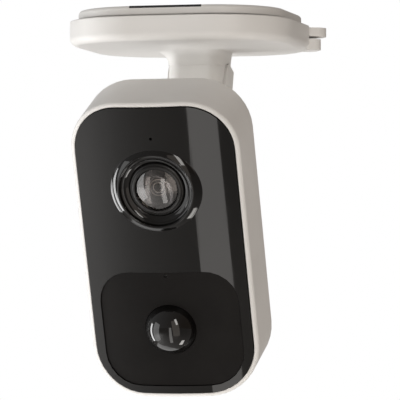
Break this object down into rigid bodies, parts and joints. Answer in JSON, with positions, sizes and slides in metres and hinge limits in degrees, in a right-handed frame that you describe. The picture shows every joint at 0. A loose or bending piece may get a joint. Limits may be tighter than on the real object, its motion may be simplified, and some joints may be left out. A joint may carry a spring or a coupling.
{
  "type": "security camera",
  "caption": "Security camera with a tilting head under a rounded-square ceiling mount: crowned black front with a lens and a motion sensor dome, white housing, neck with a friction hinge.",
  "frame": {"origin": "centre of the mounting face on top of the wall plate", "axes": "+Z points out of the mounting face into the ceiling, the camera looks along -Y and down, +X is to the right seen from in front"},
  "size_m": [0.0721, 0.0862, 0.1161],
  "materials": {
    "battery_wrap": "film",
    "black_gloss": "polished black",
    "black_plastic": "moulded black",
    "black_rubber": "matte",
    "black_satin": "fine satin black",
    "board_green": "solder mask",
    "bright_steel": "plated",
    "chip_black": "moulded",
    "clear_plastic": "clear moulded",
    "copper": "etched",
    "dome_black": "polished dark dome",
    "filter_glass": "coated",
    "grey_foam": "foam",
    "lamp_clear": "tinted epoxy",
    "lens_glass": "coated",
    "nylon": "natural nylon",
    "steel": "turned",
    "white_rubber": "soft matte",
    "white_shell": "satin moulded white"
  },
  "bodies": {
    "stand": {"wall_plate": "white_shell", "rubber_pad": "black_rubber", "base_shell": "white_shell", "base_deck": "nylon", "deck_screws": "steel", "plate_washer": "nylon", "neck_cover": "white_shell", "neck_screws": "steel", "lever_pin": "steel", "lever_spring": "bright_steel"},
    "lever": {"release_lever": "white_shell"},
    "head": {"hinge_bracket": "white_shell", "bracket_screws": "steel", "hinge_pin": "steel", "hinge_nut": "steel", "friction_washers": "nylon", "hinge_caps": "white_shell", "housing": "white_shell", "front_panel": "black_gloss", "panel_gasket": "black_rubber", "sensor_plate": "black_satin", "pir_dome": "dome_black", "lens_trim": "black_gloss", "lens_barrel": "black_plastic", "lens_front_glass": "lens_glass", "aperture_ring": "black_plastic", "rear_lens": "lens_glass", "lens_retaining_ring": "black_plastic", "lens_holder": "black_plastic", "ir_filter": "filter_glass", "image_sensor": "chip_black", "main_board": "board_green", "board_screws": "steel", "ir_lamps": "lamp_clear", "status_lamp": "clear_plastic", "light_pipe": "clear_plastic", "microphone": "bright_steel", "microphone_boot": "black_rubber", "pir_holder": "black_plastic", "pir_sensor": "bright_steel", "processor_shield": "bright_steel", "radio_module": "bright_steel", "antenna": "copper", "battery_pack": "battery_wrap", "battery_pad": "grey_foam", "speaker": "black_plastic", "charging_socket": "bright_steel", "card_socket": "bright_steel", "tact_switch": "chip_black", "flap_pin": "steel"},
    "power_button": {"power_button": "white_rubber"},
    "port_flap": {"port_flap": "white_rubber"}
  },
  "joints": [
    {"name": "head_tilt", "type": "hinge", "parent": "stand", "child": "head", "pos_m": [0, -0.00305, -0.05379], "axis": [1, 0, 0], "range_deg": [-14, 65]},
    {"name": "lever_press", "type": "hinge", "parent": "stand", "child": "lever", "pos_m": [0.02501, 0.01387, -0.0074], "axis": [-0.4848, 0.8746, 0], "range_deg": [0, 3.5], "stiffness_Nm_per_rad": 0.3, "springref_deg": -5.73},
    {"name": "button_press", "type": "slide", "parent": "head", "child": "power_button", "axis": [0, -0.9205, -0.3907], "range_m": [0, 0.0005], "stiffness_N_per_m": 900, "springref_m": -0.0003},
    {"name": "flap_open", "type": "hinge", "parent": "head", "child": "port_flap", "pos_m": [0, 0.00141, -0.10806], "axis": [1, 0, 0], "range_deg": [0, 95]}
  ]
}
